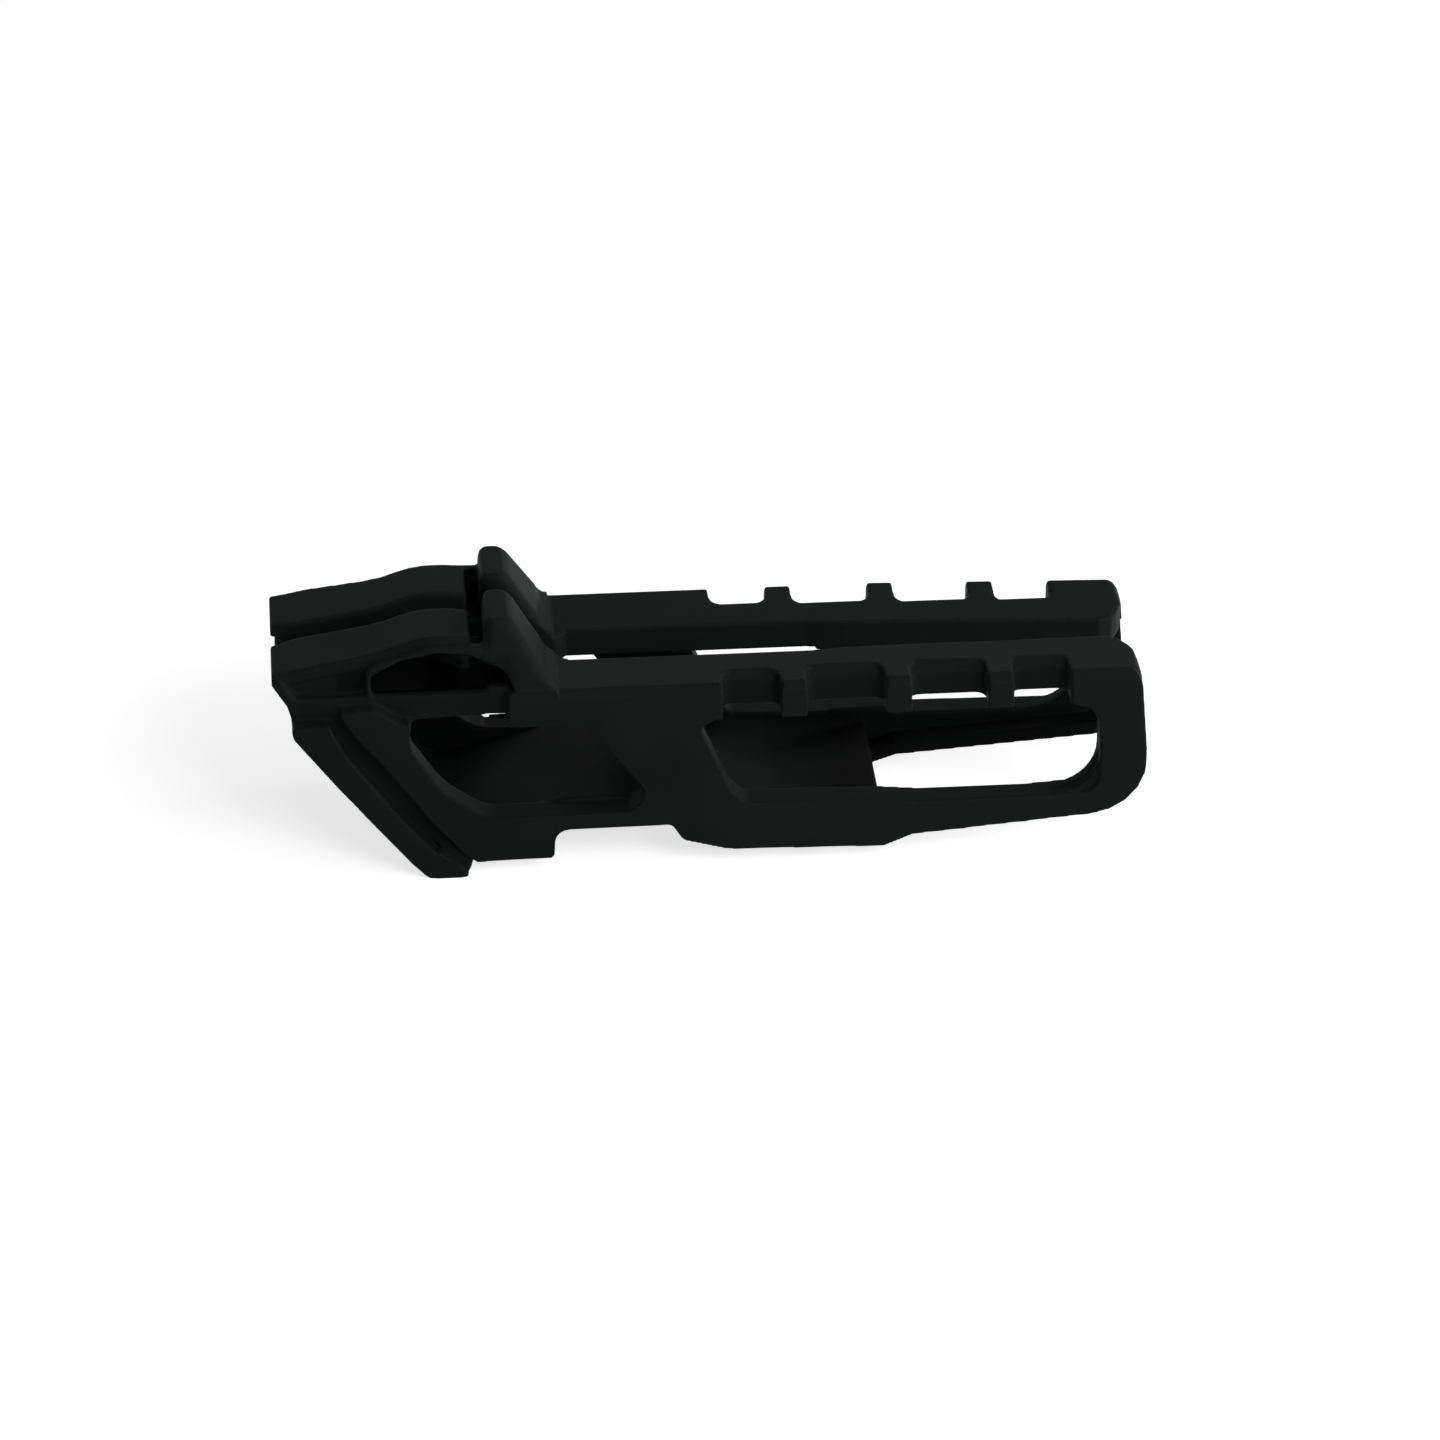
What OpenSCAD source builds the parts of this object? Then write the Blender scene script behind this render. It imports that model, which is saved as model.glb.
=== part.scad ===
// Motorcycle chain guide: one moulded body, two mirrored side plates on a floor.
// Millimetres. X runs along the chain from nose to tail, Y across it, Z is up.
// Z = 0 is the underside of the nose, X = 0 the middle of the length.

/* [Overall] */

// whole length from the nose tip to the tail
guide_length = 187; // [176:1:200]

// whole width over the two side plates
guide_width = 45; // [43:0.2:48]

// height of the top rails above the lowest point of the nose
rail_top = 44.5; // [43:0.1:47]

/* [Side plates] */

// thickness of each side plate
plate_wall = 6.3; // [5.4:0.1:7]

// how far the upper front wall stands back from the plate face
front_setback = 3.8; // [3:0.1:4.4]

// how far the throat wall under the roof edge stands in from the upper front wall
throat_setback = 2.6; // [1.6:0.1:3]

// thickness of the throat wall
throat_wall = 2.4; // [2:0.1:3]

// amount by which each plate face draws in at the tail
tail_draw_in = 1.3; // [0.6:0.1:1.8]

/* [Top rails] */

// depth of a top rail, from its top face to its underside
rail_depth = 7.8; // [7.2:0.1:8.2]

// bevel along the outer top edge of the rails
rail_bevel = 1.8; // [1:0.1:2.2]

// width of the slot between the two top rails, behind the fins
slot_width = 13; // [12:0.2:14.4]

// width of the slot along the notched stretch
rear_slot_width = 10; // [9.2:0.2:11.2]

// width of the slot through the roof and between the fins
front_slot_width = 6.2; // [5.2:0.2:7]

// width of the slot where it leaves the tail
tail_slot_width = 7; // [6.2:0.2:8.2]

// width the slot opens to in the mouth at each end
mouth_width = 15; // [14:0.5:17]

// amount by which the rail tops fall towards the tail
tail_drop = 0.8; // [0.6:0.1:1.2]

// slope of the rail tops down to the slot, in degrees
rail_dish = 3.4; // [2:0.2:4.6]

// amount by which the underside of a rail rises towards the slot
rail_rise = 0.7; // [0.4:0.1:1.4]

/* [Notches] */

// length of a rib left standing between two notches
rib_length = 5.2; // [4.4:0.1:6.4]

// depth of the first notch, from the plate face inwards
notch_depth = 6.8; // [6.4:0.1:7.6]

// amount by which each further notch is deeper
depth_growth = 0.3; // [0:0.1:0.4]

// rounding of the inner corners of a notch, in plan
notch_corner = 2.6; // [2:0.1:3]

// width of the brow bevelled over the first notch's back wall
brow_width = 1.4; // [1:0.1:2]

// amount by which the brow is wider at each further notch
brow_growth = 0.7; // [0.4:0.1:1]

// height of the brow
brow_height = 2.5; // [1.8:0.1:3]

/* [Roof and fins] */

// how far each edge of the roof stands in from the plate face at the nose
roof_set_in = 4.9; // [4.3:0.1:5.5]

// how far each edge of the roof stands in at the top of its hump
hump_set_in = 6.1; // [5.6:0.1:6.8]

// thickness of the roof
roof_thickness = 2.7; // [2.4:0.1:3.2]

// depth of the arch pocket behind the inner face of a side plate
pocket_depth = 5; // [4:0.2:6]

// height of the trench floor in front of the fins above the rail tops
trench_rise = 1.5; // [0.8:0.1:2.4]

// depth of the floor of the roof slot below the rail tops
slot_sink = 0.6; // [0:0.1:1.4]

// height of the top of the fins
fin_top = 59.8; // [58:0.2:62]

// how far the top of each fin leans in from the plate face
fin_lean = 6.3; // [5.6:0.1:7.2]

// length of the flat top of a fin
fin_flat = 3.6; // [3:0.1:5]

/* [Floor] */

// thickness of the floor that joins the side plates
floor_thickness = 4; // [3.4:0.1:4.6]

// radius of the curved webs in the corners behind the floor
web_radius = 8; // [5:0.5:10]

// height of the lip along the inner foot of the lower rails
lip_height = 2.8; // [2.2:0.1:3.4]

// width of that lip
lip_width = 2; // [1.4:0.1:2.6]

/* [Grooves] */

// width of the slanting groove in each plate face
groove_width = 4.2; // [3.8:0.1:5.4]

// depth of the slanting groove
groove_depth = 3.2; // [1.8:0.1:3.8]

/* [Hidden] */

$fn = 48;

// Outlines were drawn for this length and rail height, and follow the two sizes.
kx = guide_length / 187;
kz = rail_top / 44.5;
half_width = guide_width / 2;
inner_face = half_width - plate_wall;
front_face = half_width - front_setback;
throat_face = front_face - throat_setback;
rail_under = rail_top - rail_depth;
fin_front = -47.8 * kx;
fin_foot = -33.2 * kx;
relief_end = 24.5 * kx;
tail_start = 38 * kx;
tail_end = 93.7 * kx;
rail_end = 91.5 * kx;
tail_corner = 5;
rib_starts = [for (x = [14.5, 36.9, 58.8]) x * kx];
notch_first = 1.7 * kx;
notch_last = 76.5 * kx;
groove_tilt = 36;
fin_step = 0.8;
corner_steps = 5;
bury = 0.3;
big = 400;

// Points of one rounded corner b between a and c; r is the radius of the corner.
function unit(v) = v / norm(v);
function corner(a, b, c, r) =
    let (u = unit(a - b), v = unit(c - b), half = acos(max(-1, min(1, u * v))) / 2)
    (r <= 0 || half > 89.5) ? [b] :
    let (reach = min(r / tan(half), 0.48 * norm(a - b), 0.48 * norm(c - b)),
         rr = reach * tan(half),
         p = b + u * reach,
         q = b + v * reach,
         mid = b + unit(u + v) * rr / sin(half),
         turn = 180 - 2 * half)
    [for (i = [0 : corner_steps])
        let (t = i / corner_steps,
             s0 = sin((1 - t) * turn) / sin(turn),
             s1 = sin(t * turn) / sin(turn))
        mid + s0 * (p - mid) + s1 * (q - mid)];
function plain(p) = [p[0] * kx, p[1] * kz];
function rounded(list) = [for (i = [0 : len(list) - 1])
    for (p = corner(plain(list[(i + len(list) - 1) % len(list)]), plain(list[i]),
                    plain(list[(i + 1) % len(list)]), list[i][2])) p];

// Underside of the whole body, nose to tail, shared by the plates and the floor.
under_nose = [[-80, 23.2, 30], [-64.6, 3.6, 6], [-61.2, 0, 3], [-53.2, 0, 1.6], [-51.4, 3.8, 1.2],
              [-34.6, 4.1, 0.8]];
under_step = [[-34.2, 10.9, 3.2], [-9, 11.1, 2], [-6.6, 7.2, 2.4], [3, 4.5, 10]];
under_tail = [[36.6, 3.7, 3], [42.6, 6.2, 3], [94.4, 9.9, 12.5]];

// Plate face: the slanting nose flange, the lower rail, the tail and the top rail.
face_outline = concat([[-89.4, 38.2, 0.8], [-89.2, 35.8, 2]], under_nose, under_step, under_tail,
    [[91.4, 44.5, tail_corner], [-43.5, 44.5, 0.6], [-43.5, 38, 0.6], [-60, 38, 2], [-66.5, 38, 2],
     [-72, 41.7, 2], [-79.4, 41.7, 0.6], [-81, 38.2, 0.6]]);

// Upper front wall, set back: nose cheek, bar under the arch and the posts beside it.
front_outline = [[-93.4, 47, 0.5], [-90.2, 41.6, 2], [-89.4, 38.6, 1], [-89.2, 35.8, 2], [-80, 23.2, 20],
    [-60, 20, 0], [-36, 20, 0], [-36, 43, 0], [-42.5, 50, 0], [-48, 54, 2], [-60, 54.2, 8], [-71, 51, 6],
    [-73.4, 49.6, 1], [-73.4, 43.2, 0.6], [-88.6, 43.2, 2], [-91.4, 47.6, 0.5]];

// Top line of the roof, nose to trench.
roof_line = [[-93.4, 48.6], [-90.4, 49.1], [-86, 50.0], [-78.5, 51.2], [-72.5, 52.2], [-69, 53.1],
    [-66.3, 54.1], [-63, 55.1], [-59.5, 55.6], [-56, 55.6], [-51.4, 55.1]];

// Openings through the sides.
left_window = [[-65.4, 37.2, 3], [-53, 37.9, 1], [-43.4, 37.9, 0], [-43.4, 36.7, 0], [-26.8, 36.6, 5], [-13.6, 18.6, 3.5], [-18, 14.3, 4],
    [-49, 14.2, 9], [-58, 21, 20], [-64.6, 31.5, 5]];
right_window = [[1.7, 37.6, 2.5], [-3.2, 34.5, 1.6], [3.4, 18.8, 5], [6.8, 15.5, 3], [36, 14.8, 0], [44, 14, 0],
    [83.6, 13.9, 8.5], [83.3, 24, 3], [83, 31.5, 4], [81.2, 35.3, 1.6], [76.8, 36.4, 1.6], [76.8, 42, 0], [1.7, 42, 0]];
groove_line = [[-82.4, 43], [-80, 36.4], [-77.2, 30.6], [-65.6, 14.1], [-58.9, 6], [-51, -1.2]];
arch_window = [[-72.6, 43.2, 0.8], [-72.9, 48.2, 2], [-66, 51.8, 5], [-58.8, 53.3, 6], [-52, 52.7, 5],
    [-43.4, 48.4, 3], [-41.6, 43.2, 0.8]];

module between(y0, y1) {
    translate([0, y1, 0]) rotate([90, 0, 0]) linear_extrude(height = y1 - y0) children();
}

module shape(list) {
    polygon(rounded(list));
}

// Side plate proper: full thickness, with both windows and the slanting groove.
module face_plate() {
    difference() {
        between(inner_face, half_width) difference() {
            shape(face_outline);
            shape(left_window);
            translate([-64.6 * kx, 33 * kz]) square([19.6 * kx, 20 * kz]);
            intersection() {
                shape(right_window);
                translate([-big / 2, -big / 2]) square([big, big / 2 + rail_under]);
            }
        }
        slanting_groove();
    }
}

// Groove that runs down the nose flange and out at its foot.
module slanting_groove() {
    run = [for (p = groove_line) plain(p)];
    across = [groove_width / cos(groove_tilt), 0.2];
    last = len(run) - 1;
    between(half_width - groove_depth, half_width + 1)
        polygon(concat(run, [for (i = [last : -1 : 0]) run[i] + across]));
}

// Set-back wall of the front, pierced by the arch.
module front_wall() {
    between(inner_face, front_face) difference() {
        shape(front_outline);
        shape(arch_window);
        shape(left_window);
    }
    between(throat_face - throat_wall, inner_face + bury)
        polygon([for (p = [[-91, 48], [-89.4, 43], [-87, 40], [-72.6, 40], [-72.6, 51.4], [-78.5, 50.6]]) plain(p)]);
}

// Roof over the front, following its arched line and drawing in towards the hump.
module roof_half() {
    last = len(roof_line) - 1;
    tops = [for (p = roof_line) plain(p)];
    lows = [for (i = [last : -1 : 0]) tops[i] - [0, roof_thickness]];
    x0 = -95 * kx;
    x1 = -50 * kx;
    nose_edge = half_width - roof_set_in;
    hump_edge = half_width - hump_set_in;
    intersection() {
        between(0, nose_edge) polygon(concat(tops, lows));
        linear_extrude(height = big) polygon([[x0, 0], [x1, 0], [x1, hump_edge],
            [-67 * kx, hump_edge], [-84 * kx, nose_edge], [x0, nose_edge]]);
    }
}

// Rail with its fin. The fin leans in towards its top.
module rail_half() {
    intersection() {
        translate([fin_front, 0, 0]) rotate([90, 0, 90]) linear_extrude(height = rail_end + 2 - fin_front)
            polygon([[0, rail_under], [front_face, rail_under], [front_face, rail_top], [0, rail_top]]);
        between(0, front_face) polygon(concat(
            [[fin_front, rail_under], [rail_end + 0.7, rail_under]],
            corner([rail_end + 0.7, rail_under], [rail_end, rail_top], [fin_front, rail_top], tail_corner),
            [[fin_front, rail_top]]));
    }
    lean = atan2(fin_lean - fin_step, fin_top - rail_top);
    difference() {
        between(0, half_width) polygon([
            [fin_front, rail_top - bury], [fin_front, fin_top - 1], [fin_front + 0.9, fin_top],
            [fin_front + fin_flat, fin_top], [fin_front + fin_flat + 1.6, fin_top - 1.2],
            [fin_foot - 1.8, rail_top + 1.4], [fin_foot, rail_top], [fin_foot, rail_top - bury]]);
        translate([-big / 2, half_width - fin_step, rail_top]) rotate([lean, 0, 0])
            translate([0, 0, -big / 2]) cube([big, big / 2, big]);
        translate([-60 * kx, front_face, 0]) cube([16.5 * kx, half_width, big]);
        shape_cut(arch_window);
    }
}

module shape_cut(list) {
    between(inner_face - 3, half_width + 1) shape(list);
}

// Relief under the inner edge of a rail, ahead of the notched stretch.
module rail_relief() {
    low = rail_under - 1;
    high = rail_under + rail_rise;
    toe = inner_face - lip_width;
    translate([fin_front + fin_flat, 0, 0]) rotate([90, 0, 90]) linear_extrude(height = relief_end - fin_front - fin_flat)
        polygon([[-1, low], [-1, high], [slot_width / 2, high], [toe, rail_under], [toe, low]]);
}

// Core that fills the space under the roof. The arch is a pocket beside it, and the trench
// in front of the fins and the slot in the roof are grooves in it.
module front_core() {
    under = 36.4;
    trench = (rail_top + trench_rise) / kz;
    roof_end = -51.4;
    tops = [for (i = [len(roof_line) - 1 : -1 : 1])
        [max(roof_line[i][0], -91.6), roof_line[i][1] - (roof_thickness - bury) / kz]];
    intersection() {
        between(0, inner_face + bury) polygon([for (p = concat([[-87, under], [-43.5, under],
            [-43.5, trench], [roof_end, trench]], tops, [[-91.4, 45.6], [-89.2, 41]])) plain(p)]);
        linear_extrude(height = big) polygon([[-93 * kx, 0], [-93 * kx, 8.6], [-86 * kx, inner_face - pocket_depth],
            [-60 * kx, inner_face - pocket_depth], [-53 * kx, inner_face + bury],
            [-42 * kx, inner_face + bury], [-42 * kx, 0]]);
    }
}

// Slot down the middle, widening behind the fins and flaring at both mouths.
// Through the rails it is open below, and in the roof it has a floor.
module slot() {
    nose = -93.5 * kx;
    front = front_slot_width / 2;
    rear = rear_slot_width / 2;
    side = tail_slot_width / 2;
    mouth = mouth_width / 2;
    translate([0, 0, rail_top - slot_sink]) linear_extrude(height = big / 4) polygon([
        [nose - 1, mouth / 2 + 1], [nose + 5, front], [fin_front + 1, front],
        [fin_front + 1, -1], [nose - 1, -1]]);
    translate([0, 0, rail_under - 5]) linear_extrude(height = big / 4) polygon([
        [fin_front, front], [fin_front + 4, front], [fin_foot + 0.6, front + 0.5],
        [fin_foot + 3.2, slot_width / 2], [22 * kx, slot_width / 2], [30 * kx, rear + 0.5],
        [42 * kx, rear + 0.1], [64 * kx, rear - 0.4], [tail_end - 8, side], [tail_end - 5.2, side + 1.4],
        [tail_end - 3.9, mouth - 0.4], [tail_end - 2.6, mouth + 3], [tail_end - 2, mouth + 6.5],
        [tail_end + 1, mouth + 6.5], [tail_end + 1, -1], [fin_front, -1]]);
}

// One notch in the rail edge, open above and below and outwards, with a brow over its back wall.
module notch(x0, x1, step) {
    back = half_width - notch_depth - step * depth_growth;
    brow = brow_width + step * brow_growth;
    top = back - brow;
    bend = notch_corner + brow_width;
    translate([0, 0, rail_under - 1]) linear_extrude(height = rail_depth + 2) polygon(concat(
        corner([x0, big], [x0, back], [x1, back], notch_corner),
        corner([x0, back], [x1, back], [x1, big], notch_corner),
        [[x1, half_width + 2], [x0, half_width + 2]]));
    intersection() {
        translate([x0, 0, 0]) rotate([90, 0, 90]) linear_extrude(height = x1 - x0) polygon([
            [top - brow / brow_height, rail_top + 1],
            [back + brow / brow_height, rail_top - brow_height - 1], [back + 2, rail_top + 1]]);
        linear_extrude(height = big) polygon(concat(
            corner([x0, big], [x0, top], [x1, top], bend), corner([x0, top], [x1, top], [x1, big], bend),
            [[x1, half_width + 2], [x0, half_width + 2]]));
    }
}

module notches() {
    ends = concat(rib_starts, [notch_last]);
    notch(notch_first, ends[0], 0);
    for (i = [0 : 2]) notch(ends[i] + rib_length, ends[i + 1], i + 1);
}

// Bevel on the outer top edge, straight to the tail stretch and drawn in along it.
module edge_bevel() {
    side = rail_bevel * sqrt(2);
    translate([fin_foot, half_width, rail_top]) rotate([45, 0, 0])
        translate([0, -side / 2, -side / 2]) cube([tail_start - fin_foot, side, side]);
    tail_frame() rotate([45, 0, 0])
        translate([0, -side / 2, -side / 2]) cube([big / 2, side, side]);
}

module tail_frame() {
    run = tail_end - tail_start;
    translate([tail_start, half_width, rail_top])
        rotate([0, atan2(tail_drop, run), -atan2(tail_draw_in, run)]) children();
}

// Draws the tail in on its outer face, and dishes the rail tops down to the slot.
module tail_cuts() {
    tail_frame() translate([0, 0, -big / 2]) cube([big / 2, big / 2, big]);
    intersection() {
        for (fall = [0, atan2(tail_drop, tail_end - tail_start)])
            translate([tail_start, half_width, rail_top]) rotate([rail_dish, fall, 0])
                translate([-big / 2, -big / 2, 0]) cube([big, big, big / 2]);
        translate([fin_foot + 0.2, -big / 2, 0]) cube([big, big, big]);
    }
}

// Floor that joins the plates, kept to one thickness along the underside.
module joining_floor() {
    t = floor_thickness;
    between(-inner_face - bury, inner_face + bury) polygon(rounded([
        [-85.2, 31, 0], [-79.7, 23.4, 20], [-64.4, 4, 6], [-61, 0.4, 3], [-53.4, 0.4, 1.6],
        [-51.6, 4.2, 1], [-34.8, 4.5, 0.8], [-34.4, 11.3, 3], [-8.8, 11.5, 2], [-6.4, 7.6, 2], [3, 4.9, 10],
        [36.4, 4.1, 0], [36.4, 4.1 + t, 1], [14, 5 + t, 40], [-4.6, 11 + t, 8],
        [-31, 11.2 + t, 24], [-56, 5.2 + t, 25], [-60.6, 4.8 + t, 6],
        [-77, 27.6, 20], [-81.6, 34, 1]]));
}

// Curved web in the corner between the floor's rear edge and a side plate.
module floor_web() {
    e = 36.4 * kx;
    translate([0, 0, 4.4 * kz]) linear_extrude(height = floor_thickness - 0.8) polygon(concat(
        [[e - 1, inner_face - web_radius]],
        corner([e, inner_face - 3 * web_radius], [e, inner_face], [e + 3 * web_radius, inner_face], web_radius),
        [[e + web_radius, inner_face + bury], [e - 1, inner_face + bury]]));
}

// Lip along the inner foot of the lower rail, behind the floor.
module rail_lip() {
    foot = [for (p = [[36, 4.1], [42.6, 6.5], [88, 9.8]]) plain(p)];
    between(inner_face - lip_width, inner_face + bury) polygon(concat(foot,
        [for (i = [2 : -1 : 0]) foot[i] + [0, lip_height]]));
}

module side_half() {
    difference() {
        union() {
            face_plate();
            floor_web();
            rail_lip();
            front_wall();
            roof_half();
            front_core();
            rail_half();
        }
        slot();
        rail_relief();
        notches();
        edge_bevel();
        tail_cuts();
    }
}

module guide_body() {
    color([0.1, 0.1, 0.1]) union() {
        side_half();
        mirror([0, 1, 0]) side_half();
        joining_floor();
    }
}

guide_body();
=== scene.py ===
# Motorcycle chain guide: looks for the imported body, one black moulded piece.
import math

import bmesh
import bpy
import numpy as np
from mathutils import Matrix, Vector


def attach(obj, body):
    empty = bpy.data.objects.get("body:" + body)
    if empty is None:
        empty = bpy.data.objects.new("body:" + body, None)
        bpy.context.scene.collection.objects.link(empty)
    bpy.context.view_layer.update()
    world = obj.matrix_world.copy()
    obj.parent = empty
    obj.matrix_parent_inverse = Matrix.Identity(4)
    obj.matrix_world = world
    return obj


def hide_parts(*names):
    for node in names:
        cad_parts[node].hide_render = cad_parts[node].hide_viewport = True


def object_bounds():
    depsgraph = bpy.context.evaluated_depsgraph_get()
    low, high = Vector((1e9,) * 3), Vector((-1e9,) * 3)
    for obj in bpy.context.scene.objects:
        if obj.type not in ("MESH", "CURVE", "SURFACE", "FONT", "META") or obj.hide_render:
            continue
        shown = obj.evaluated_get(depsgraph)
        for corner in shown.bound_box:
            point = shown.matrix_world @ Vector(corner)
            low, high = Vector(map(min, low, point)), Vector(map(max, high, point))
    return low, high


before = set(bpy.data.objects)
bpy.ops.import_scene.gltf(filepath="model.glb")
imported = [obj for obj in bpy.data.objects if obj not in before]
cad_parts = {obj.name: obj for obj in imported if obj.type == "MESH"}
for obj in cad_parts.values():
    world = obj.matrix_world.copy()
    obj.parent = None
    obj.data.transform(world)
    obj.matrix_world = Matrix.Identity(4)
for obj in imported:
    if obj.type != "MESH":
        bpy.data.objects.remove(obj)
cad_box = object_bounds()

# Shapes are written in millimetres and turned into metres by this
MM = 0.001

# The part is mirrored in Y, and the camera stands on its near side, at negative Y
NEAR_SIDE = (-1,)
FAR_SIDE = (1,)
BOTH_SIDES = (-1, 1)

# Camera, fitted to the photograph: 30 degrees down, a little from the nose end
VIEW_TURN = math.radians(4.6)
VIEW_FALL = math.radians(30.0)
VIEW_FOCUS = Vector((3.0, 0.0, 23.5)) * MM
VIEW_DISTANCE = 1269.6 * MM
LENS_PX = 5855.0
PHOTO_PX = 1440.0
SENSOR_WIDTH = 36.0
CLIP_START = 0.05
CLIP_END = 20.0

# How the body is eased: remesh cell, smoothing, and the swell that makes up for what smoothing takes
WELD_REACH = 0.001 * MM
CELL = 0.32 * MM
EASE_FACTOR = 0.5
EASE_ROUNDS = 3
SWELL = 0.18 * MM
FIN_SWELL = 0.45 * MM
KEPT_FACES = 0.155
FLAT_WEIGHT = 90

# Where the mould rounds more: name, box in mm (the same on both sides), fade in mm, smoothing rounds
SOFT_ZONES = (
    ("nose", (-100, -1, 16), (-45, 30, 60), 3.0, 14),
    ("fins", (-50, 0, 46), (-31, 30, 70), 2.5, 130),
    ("channel", (-60, -1, 6), (40, 16, 24), 2.0, 60),
    ("windows", (-12, 15, 10), (12, 30, 37), 2.0, 16),
)
SOFT_STEPS = 5

# Painted shade: boxes in mm where the skin's colour is darkened nearly to black to stand for the shade in
# the arch pockets, the far front sill and the rear channel, and how far each box's low X side fades in mm
PAINTED_SHADE_BOXES = (
    ((-80, -17, 37), (-43.4, -4, 50.8), 0.5),
    ((-80, 4, 37), (-43.4, 17, 50.8), 0.5),
    ((-57, 16, 10), (-38, 21.8, 16), 0.5),
    ((15, -16.3, 2), (96, 16.3, 36), 15),
)
PAINTED_SHADE_FADE = 0.5

# Nylon: size and depth of the grain, and the span of one flow patch
GRAIN_SIZE = 0.45 * MM
GRAIN_DEPTH = 0.03 * MM
FLOW_SIZE = 22 * MM

# Studio: floor, the glow of what is looked at, the air's own light, and the softboxes
FLOOR_REACH = 6.0
PAPER_LIFT = 0.72
AIR_LEVEL = 0.155
LAMP_AIM = (0, 0, 0.02)

# Each softbox: name, place in m, size in m, power in W
SOFTBOXES = (
    ("right_box", (1.2, 0.0, 0.45), (0.6, 0.5), 4.5),
    ("low_right_box", (1.1, -0.35, 0.25), (0.5, 0.4), 5.2),
    ("front_right_box", (0.5, -0.9, 0.8), (0.6, 0.5), 6.6),
)


# Colours are written as sRGB hex, and this turns them linear.
def colour(code):
    parts = [int(code[i:i + 2], 16) / 255 for i in (0, 2, 4)]
    line = [c / 12.92 if c <= 0.04045 else ((c + 0.055) / 1.055) ** 2.4 for c in parts]
    return (line[0], line[1], line[2], 1.0)


# Puts new data into the scene as an object.
def show(name, data):
    thing = bpy.data.objects.new(name, data)
    bpy.context.scene.collection.objects.link(thing)
    return thing


# Gives a material or the world an empty node tree.
def empty_tree(owner):
    owner.use_nodes = True
    owner.node_tree.nodes.clear()
    return owner.node_tree


# Adds one shader node with its settings and its links.
def add_node(tree, kind, settings=None, values=None, links=None):
    node = tree.nodes.new(kind)
    for name, value in (settings or {}).items():
        setattr(node, name, value)
    for name, value in (values or {}).items():
        node.inputs[name].default_value = value
    for name, source in (links or {}).items():
        tree.links.new(source, node.inputs[name])
    return node


# Joins two values by one operation of arithmetic.
def combine(tree, operation, first, second):
    joined = add_node(tree, "ShaderNodeMath", {"operation": operation}, {}, {0: first, 1: second})
    return joined.outputs[0]


def place_camera():
    look = Vector((math.sin(VIEW_TURN) * math.cos(VIEW_FALL),
                   math.cos(VIEW_TURN) * math.cos(VIEW_FALL),
                   -math.sin(VIEW_FALL)))
    right = Vector((math.cos(VIEW_TURN), -math.sin(VIEW_TURN), 0))
    up = right.cross(look)
    data = bpy.data.cameras.new("photo_camera")
    data.sensor_fit = "HORIZONTAL"
    data.sensor_width = SENSOR_WIDTH
    data.lens = LENS_PX / PHOTO_PX * SENSOR_WIDTH
    data.clip_start = CLIP_START
    data.clip_end = CLIP_END
    camera = show("photo_camera", data)
    axes = Matrix((right, up, -look)).transposed().to_4x4()
    camera.matrix_world = Matrix.Translation(VIEW_FOCUS - look * VIEW_DISTANCE) @ axes
    bpy.context.scene.camera = camera


# Adds a closed form to a mesh: rings of (x, y, z) points in mm, joined one to the next.
def closed_form(form, rings, sides=BOTH_SIDES):
    for side in sides:
        rows = [[form.verts.new((x * MM, side * y * MM, z * MM)) for x, y, z in ring] for ring in rings]
        count = len(rows[0])
        faces = [form.faces.new(rows[0]), form.faces.new(rows[-1][::-1])]
        for first, second in zip(rows, rows[1:]):
            for i in range(count):
                j = (i + 1) % count
                faces.append(form.faces.new((first[j], first[i], second[i], second[j])))
        bmesh.ops.recalc_face_normals(form, faces=faces)


# A slab across the part: its outline in side view, and how far out it starts and ends.
def slab(form, outline, near, far, sides=BOTH_SIDES):
    closed_form(form, [[(x, y, z) for x, z in outline] for y in (near, far)], sides)


# A bar run along the chain's line: its section, set down at each station (x, z, share).
def run_along(form, stations, section):
    closed_form(form, [[(x, y, z + rise * share) for y, rise in section] for x, z, share in stations])


# Rounds the rear window's inner corner more, in two steps inwards from the face.
def round_window_corner(form):
    window_end = 83.6
    window_foot = 14
    window_radius = 8.5
    lean = 0.24
    for radius, near, far in ((9.4, 18.4, 20.6), (10.2, 16.2, 18.6)):
        edge = window_end - (radius - window_radius) * lean
        arc = []
        for degrees in range(0, 91, 10):
            turn = math.radians(degrees)
            arc.append((edge - radius * (1 - math.cos(turn)), window_foot + radius * (1 - math.sin(turn))))
        slab(form, [(85, 12), (85, 34), (edge, 34)] + arc + [(edge - radius, 12)], near, far)


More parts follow.
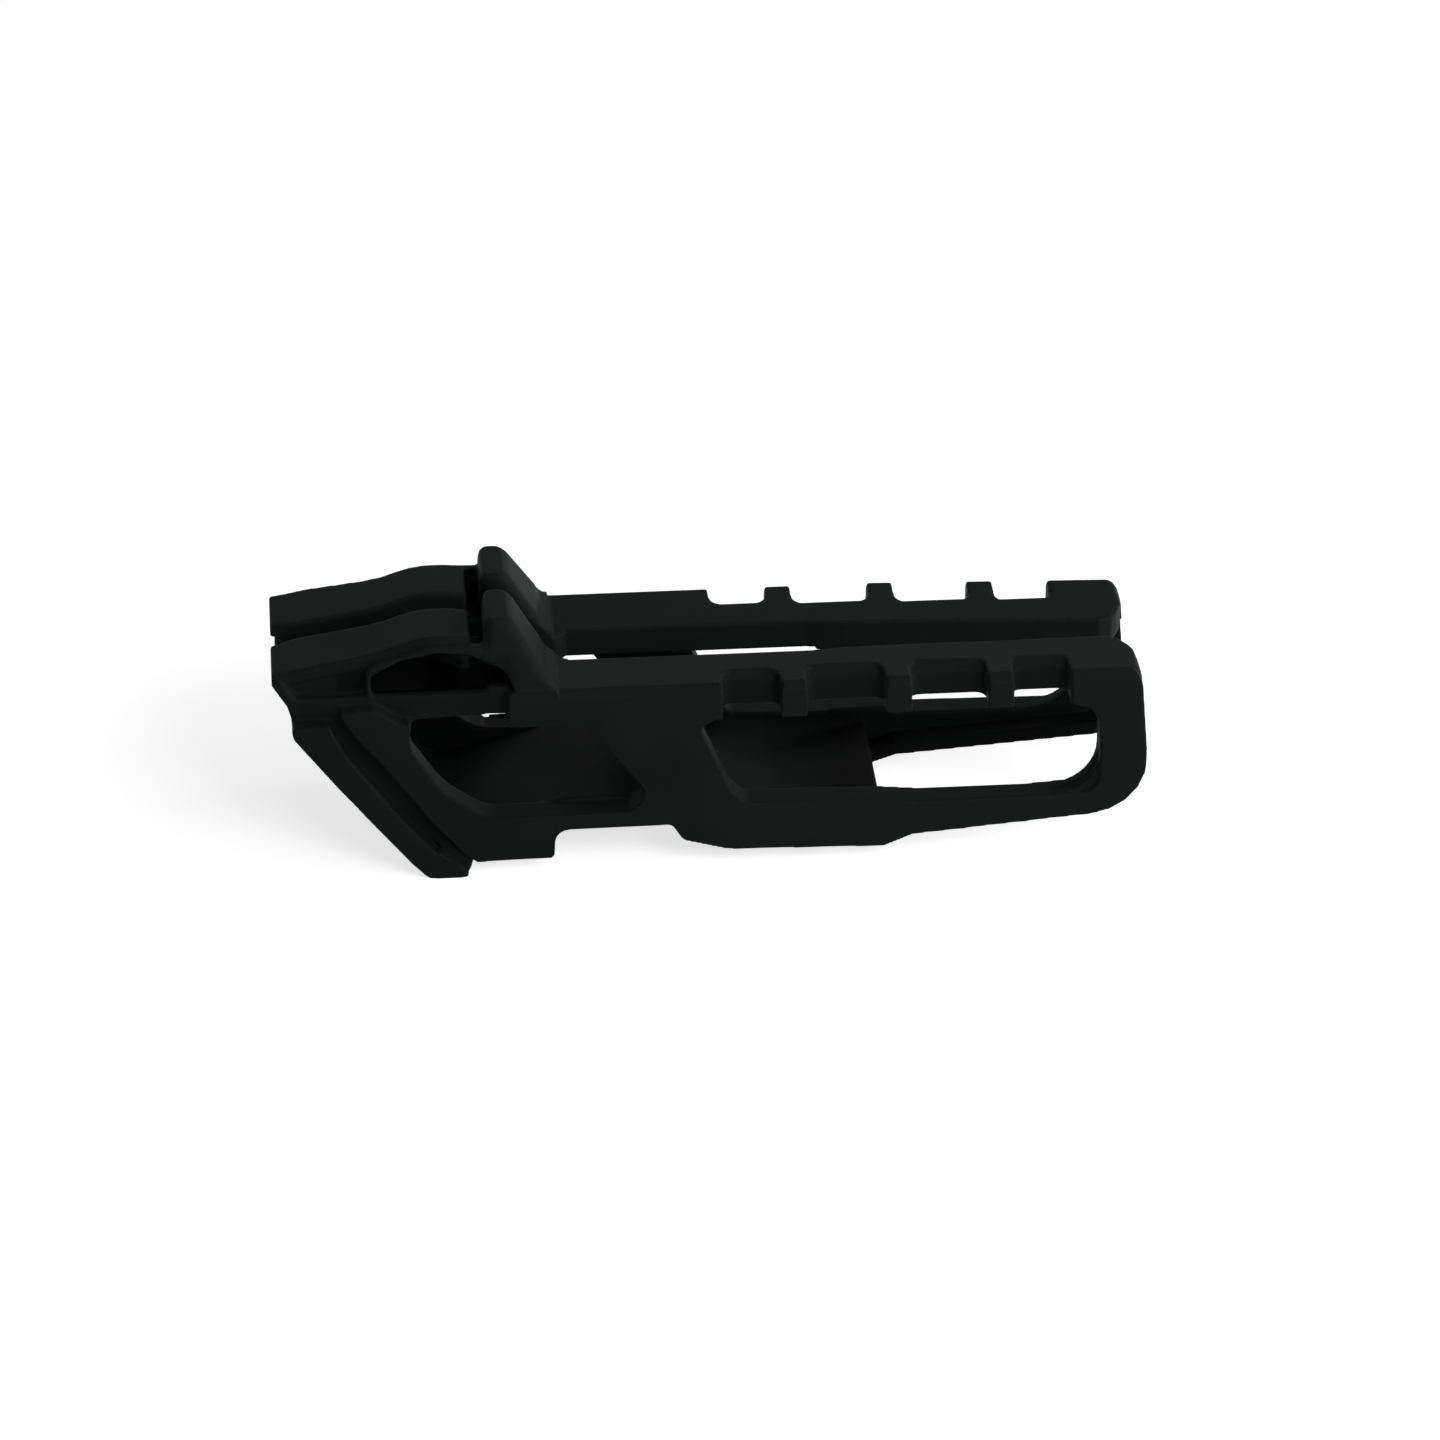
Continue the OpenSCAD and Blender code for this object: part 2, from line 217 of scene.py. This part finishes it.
# What the mould adds to the plain solid.
def mould_fills(form):
    # Wall between the trench and the arch pocket, set deeper on the far side
    wall = [(-52, 45), (-43, 45), (-43, 49.2), (-47.8, 51.4), (-51.6, 53.2), (-52, 53.3)]
    slab(form, wall, 11.6, 12.6, NEAR_SIDE)
    slab(form, wall, 14.6, 16.6, FAR_SIDE)
    trench_floor = [(-51.8, 45.5), (-47.6, 45.5), (-47.6, 48.6), (-51.8, 48.6)]
    slab(form, trench_floor, 3.2, 12)
    # Bridge across the slot, under the roof's front edge
    roof_bridge = [(-92.6, 44.7), (-86, 44.7), (-86, 41), (-90.6, 41)]
    slab(form, roof_bridge, -0.2, 8)
    # The nose groove's top, and its foot, which draws in towards the face
    groove_top = [(-79.4, 41.4), (-76.9, 37), (-74.4, 33.4), (-71.9, 30.3), (-71.2, 31.2), (-74, 37),
                  (-76, 41.4)]
    slab(form, groove_top, 19, 22.4)
    foot = [(-53.6, 0.5), (-52.6, 1.4), (-51.8, 4.2)]
    inner_foot = [(-61, 9.6)] + foot + [(-54.6, 9.2)]
    outer_foot = [(-56.4, 3.4)] + foot + [(-53.9, 5.4)]
    closed_form(form, [[(x, 19, z) for x, z in inner_foot], [(x, 21.4, z) for x, z in outer_foot]])
    # Wider lip along the foot of the rear side walls
    run_along(form, [(36, 4.3, 1), (42.6, 6.6, 1), (88, 9.9, 1)],
              [(16.4, 0), (16.4, 2.8), (11.4, 2.6), (11.4, -0.2)])
    # Fillet between the floor and the side walls
    run_along(form, [(2, 12.9, 0.3), (8, 11, 0.7), (14, 8.9, 1), (36.2, 8.0, 1)],
              [(16.6, -1), (16.6, 5.6), (15.4, 3.0), (14, 1.5), (12, 0.5), (9.6, 0), (9.6, -1)])
    # Rise of the floor towards its rear edge
    floor_rise = [(9, 9.9), (13, 9.1), (20, 9.5), (28, 10.7), (36.2, 12.2), (36.2, 5.5), (9, 6)]
    slab(form, floor_rise, -0.2, 16.4)
    # Low rise on the sill of the far rear window
    far_sill = [(26, 14), (44, 13.4), (41, 15.6), (29, 15.6)]
    slab(form, far_sill, 16.2, 21.5, FAR_SIDE)
    round_window_corner(form)


# What the mould leaves out of the plain solid.
def mould_hollows(form):
    # Pocket behind each arch, which reaches further back on the near side
    near_plan = [(-72.4, 5), (-60, 5), (-54, 12.6), (-43.6, 12.6), (-43.6, 16.8), (-72.4, 16.8)]
    far_plan = [(-72.4, 5), (-60, 5), (-54, 16.6), (-56, 16.8), (-60, 16.8), (-72.4, 16.8)]
    pocket_floor = 38.4
    pocket_tops = (47.4, 50.6, 50.6, 48, 48, 47.4)
    least_depth = 8
    for sides, plan in ((NEAR_SIDE, near_plan), (FAR_SIDE, far_plan)):
        floor_ring = [(x, max(y, least_depth), pocket_floor) for x, y in plan]
        top_ring = [(x, y, z) for (x, y), z in zip(plan, pocket_tops)]
        closed_form(form, [floor_ring, top_ring], sides)
    # Wider nose groove
    groove = [(-83.4, 43.2), (-81, 36.4), (-78.2, 30.6), (-66.6, 14.1), (-59.9, 6), (-58, 6),
              (-64.8, 14.1), (-76.4, 30.6), (-79.2, 36.4), (-81.6, 43.2)]
    slab(form, groove, 19.3, 23)
    # Sight line under the front bar: through the middle, and through each wall
    middle_sight = [(-53, 35.5), (-43.6, 35.5), (-43.6, 36.9), (-53, 36.9)]
    slab(form, middle_sight, -17, 17, FAR_SIDE)
    wall_sight = [(-48.6, 37), (-43.6, 37), (-43.6, 38.1), (-48.6, 38.1)]
    slab(form, wall_sight, 15.6, 23)
    # Lower corner of the far front window
    far_corner = [(-47.5, 13.7), (-40, 13.7), (-40, 15.5), (-49, 15.5)]
    slab(form, far_corner, 17, 23, FAR_SIDE)


# Turns a finished form into a mesh.
def finished_mesh(form, name):
    mesh = bpy.data.meshes.new(name)
    form.to_mesh(mesh)
    form.free()
    return mesh


# The places of a mesh's vertices, one row each.
def vertex_spots(mesh):
    spots = np.empty(len(mesh.vertices) * 3)
    mesh.vertices.foreach_get("co", spots)
    return spots.reshape(-1, 3)


# Sets the weight of a smoothing group by a box in mm, fading over its margin.
def soft_zone(piece, name, low, high, margin):
    spots = vertex_spots(piece.data) / MM
    spots[:, 1] = np.abs(spots[:, 1])
    inside = np.minimum(spots - np.array(low), np.array(high) - spots).min(axis=1)
    level = np.clip(inside / margin, 0, 1)
    group = piece.vertex_groups.new(name=name)
    for step in range(1, SOFT_STEPS + 1):
        chosen = np.nonzero(np.round(level * SOFT_STEPS) == step)[0]
        group.add([int(i) for i in chosen], step / SOFT_STEPS, "REPLACE")


# Replaces the piece's mesh by what its modifiers make of it.
def apply_modifiers(piece):
    graph = bpy.context.evaluated_depsgraph_get()
    shaped = bpy.data.meshes.new_from_object(piece.evaluated_get(graph))
    piece.modifiers.clear()
    old = piece.data
    piece.data = shaped
    name = old.name
    bpy.data.meshes.remove(old)
    shaped.name = name


# Keeps the piece inside the solid's own box.
def hold_in_box(piece, box):
    mesh = piece.data
    spots = np.clip(vertex_spots(mesh), np.array(box[0]), np.array(box[1]))
    mesh.vertices.foreach_set("co", spots.ravel())
    mesh.update()


# A copy of the node with its faces joined. The node itself isn't changed.
def joined_copy(node, name):
    form = bmesh.new()
    form.from_mesh(node.data)
    bmesh.ops.remove_doubles(form, verts=form.verts, dist=WELD_REACH)
    return show(name, finished_mesh(form, name))


def cut_hollows(piece):
    form = bmesh.new()
    mould_hollows(form)
    hollow_mesh = finished_mesh(form, "hollows")
    hollows = show("hollows", hollow_mesh)
    cut = piece.modifiers.new("hollows", "BOOLEAN")
    cut.operation = "DIFFERENCE"
    cut.solver = "EXACT"
    cut.use_self = True
    cut.object = hollows
    apply_modifiers(piece)
    bpy.data.objects.remove(hollows)
    bpy.data.meshes.remove(hollow_mesh)


# Lays the fills into the piece and remeshes it finely, which makes them one skin.
def add_fills(piece):
    form = bmesh.new()
    form.from_mesh(piece.data)
    mould_fills(form)
    form.to_mesh(piece.data)
    form.free()
    remesh = piece.modifiers.new("even_cells", "REMESH")
    remesh.mode = "VOXEL"
    remesh.voxel_size = CELL
    remesh.adaptivity = 0.0
    apply_modifiers(piece)


def smooth(piece, name, rounds, zone):
    ease = piece.modifiers.new(name, "SMOOTH")
    ease.factor = EASE_FACTOR
    ease.iterations = rounds
    ease.vertex_group = zone


def grow(piece, name, amount, zone):
    swollen = piece.modifiers.new(name, "DISPLACE")
    swollen.mid_level = 0.0
    swollen.strength = amount
    swollen.vertex_group = zone


# The body with its mould radii: every edge gets the small round that a mould leaves, and the
# soft zones get more of it.
def soften_body(node, name):
    piece = joined_copy(node, name)
    cut_hollows(piece)
    add_fills(piece)
    for zone, low, high, margin, rounds in SOFT_ZONES:
        soft_zone(piece, zone, low, high, margin)
    smooth(piece, "mould_radii", EASE_ROUNDS, "")
    for zone, low, high, margin, rounds in SOFT_ZONES:
        smooth(piece, zone, rounds, zone)
    grow(piece, "swell", SWELL, "")
    grow(piece, "fin_swell", FIN_SWELL, "fins")
    apply_modifiers(piece)
    piece.vertex_groups.clear()
    hold_in_box(piece, cad_box)
    return piece


# Leaves fewer faces, and weighs the normals by face size so that the flats shade flat.
def thin_flats(piece):
    thin = piece.modifiers.new("fewer_faces", "DECIMATE")
    thin.decimate_type = "COLLAPSE"
    thin.ratio = KEPT_FACES
    apply_modifiers(piece)
    hold_in_box(piece, cad_box)
    for face in piece.data.polygons:
        face.use_smooth = True
    even = piece.modifiers.new("flat_faces", "WEIGHTED_NORMAL")
    even.weight = FLAT_WEIGHT
    apply_modifiers(piece)


# 1 inside a box given in mm and 0 outside it, with faded sides; the low X side fades over more.
def box_mask(tree, place, low, high, fade, first_fade):
    parts = add_node(tree, "ShaderNodeSeparateXYZ", {}, {}, {0: place})
    mask = None
    for axis in range(3):
        low_fade = first_fade if axis == 0 else fade
        for start, stop, before, after in ((low[axis], low[axis] + low_fade, 0.0, 1.0),
                                           (high[axis] - fade, high[axis], 1.0, 0.0)):
            edge = add_node(tree, "ShaderNodeMapRange", {"interpolation_type": "SMOOTHSTEP"},
                            {"From Min": start * MM, "From Max": stop * MM,
                             "To Min": before, "To Max": after},
                            {"Value": parts.outputs[axis]}).outputs[0]
            mask = edge if mask is None else combine(tree, "MULTIPLY", mask, edge)
    return mask


# Black nylon, injection moulded: a spark-eroded grain 0.45 mm across, drawn a little coarse so
# that it shows, with slow differences in tint and sheen where the melt flowed.
def moulded_black_nylon():
    material = bpy.data.materials.new("moulded_black_nylon")
    tree = empty_tree(material)
    place = add_node(tree, "ShaderNodeTexCoord").outputs["Object"]
    grain = add_node(tree, "ShaderNodeTexNoise", {"noise_dimensions": "3D"},
                     {"Scale": 1 / GRAIN_SIZE, "Detail": 2.0, "Roughness": 0.6},
                     {"Vector": place})
    flow = add_node(tree, "ShaderNodeTexNoise", {"noise_dimensions": "3D"},
                    {"Scale": 1 / FLOW_SIZE, "Detail": 3.0, "Roughness": 0.55, "Distortion": 0.6},
                    {"Vector": place})
    tint = add_node(tree, "ShaderNodeMapRange", {},
                    {"From Min": 0.35, "From Max": 0.65, "To Min": 0.0, "To Max": 1.0},
                    {"Value": flow.outputs["Fac"]})
    body_tint = add_node(tree, "ShaderNodeMix", {"data_type": "RGBA"},
                         {"A": colour("171A19"), "B": colour("1A1D1C")},
                         {"Factor": tint.outputs["Result"]})
    # Painted shade: the colour is pulled to near-black 0A0B0B inside the painted shade boxes, where the
    # arch pockets, the far front sill and the rear channel lie in shade
    painted_shade = None
    for low, high, first_fade in PAINTED_SHADE_BOXES:
        shade = box_mask(tree, place, low, high, PAINTED_SHADE_FADE, first_fade)
        painted_shade = shade if painted_shade is None else combine(tree, "MAXIMUM", painted_shade, shade)
    tint_with_painted_shade = add_node(tree, "ShaderNodeMix", {"data_type": "RGBA"}, {"B": colour("0A0B0B")},
                         {"A": body_tint.outputs["Result"], "Factor": painted_shade})
    sheen = add_node(tree, "ShaderNodeMapRange", {},
                     {"From Min": 0.3, "From Max": 0.7, "To Min": 0.50, "To Max": 0.60},
                     {"Value": flow.outputs["Fac"]})
    relief = add_node(tree, "ShaderNodeBump", {}, {"Strength": 0.35, "Distance": GRAIN_DEPTH},
                      {"Height": grain.outputs["Fac"]})
    shader = add_node(tree, "ShaderNodeBsdfPrincipled", {},
                      {"IOR": 1.5, "Specular IOR Level": 0.022, "Metallic": 0.0},
                      {"Base Color": tint_with_painted_shade.outputs["Result"], "Roughness": sheen.outputs["Result"],
                       "Normal": relief.outputs["Normal"]})
    add_node(tree, "ShaderNodeOutputMaterial", {}, {}, {"Surface": shader.outputs["BSDF"]})
    return material


# 1 for the rays that look at the backdrop, straight or through a mirror or glass, else 0.
def looked_at(tree):
    path = add_node(tree, "ShaderNodeLightPath").outputs
    seen = combine(tree, "MAXIMUM", path["Is Camera Ray"], path["Is Transmission Ray"])
    return combine(tree, "MAXIMUM", seen, path["Is Glossy Ray"])


# Studio floor: pale paper. It looks white to the eye and keeps the guide's shadow.
def paper_white():
    material = bpy.data.materials.new("paper_white")
    tree = empty_tree(material)
    paper = add_node(tree, "ShaderNodeBsdfDiffuse", {}, {"Color": colour("E8E8E8")})
    lift = add_node(tree, "ShaderNodeMath", {"operation": "MULTIPLY"}, {1: PAPER_LIFT},
                    {0: looked_at(tree)})
    glow = add_node(tree, "ShaderNodeEmission", {}, {"Color": colour("FFFFFF")},
                    {"Strength": lift.outputs[0]})
    both = add_node(tree, "ShaderNodeAddShader", {}, {}, {0: paper.outputs[0], 1: glow.outputs[0]})
    add_node(tree, "ShaderNodeOutputMaterial", {}, {}, {"Surface": both.outputs[0]})
    return material


def lay_floor(height):
    form = bmesh.new()
    bmesh.ops.create_grid(form, x_segments=1, y_segments=1, size=FLOOR_REACH)
    bmesh.ops.translate(form, verts=form.verts, vec=(0, 0, height))
    floor = show("studio_floor", finished_mesh(form, "studio_floor"))
    floor.data.materials.append(paper_white())


def softbox(name, place, size, power):
    data = bpy.data.lights.new(name, "AREA")
    data.shape = "RECTANGLE"
    data.size = size[0]
    data.size_y = size[1]
    data.energy = power
    lamp = show(name, data)
    lamp.location = place
    lamp.rotation_euler = (Vector(LAMP_AIM) - Vector(place)).to_track_quat("-Z", "Y").to_euler()


# The air lights the guide weakly from all round, and is white to the rays that look at it.
def light_studio():
    world = bpy.data.worlds.new("studio_air")
    bpy.context.scene.world = world
    tree = empty_tree(world)
    level = add_node(tree, "ShaderNodeMapRange", {}, {"To Min": AIR_LEVEL, "To Max": 1.0},
                     {"Value": looked_at(tree)})
    air = add_node(tree, "ShaderNodeBackground", {}, {"Color": colour("FFFFFF")},
                   {"Strength": level.outputs["Result"]})
    add_node(tree, "ShaderNodeOutputWorld", {}, {}, {"Surface": air.outputs[0]})
    for name, place, size, power in SOFTBOXES:
        softbox(name, place, size, power)


place_camera()
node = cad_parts["guide_body"]
black_nylon = moulded_black_nylon()
guide = soften_body(node, "guide_moulding")
thin_flats(guide)
guide.data.materials.clear()
guide.data.materials.append(black_nylon)
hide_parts("guide_body")
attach(guide, "root")
lay_floor(0.0)
light_studio()

bpy.context.scene.view_settings.view_transform = "Standard"
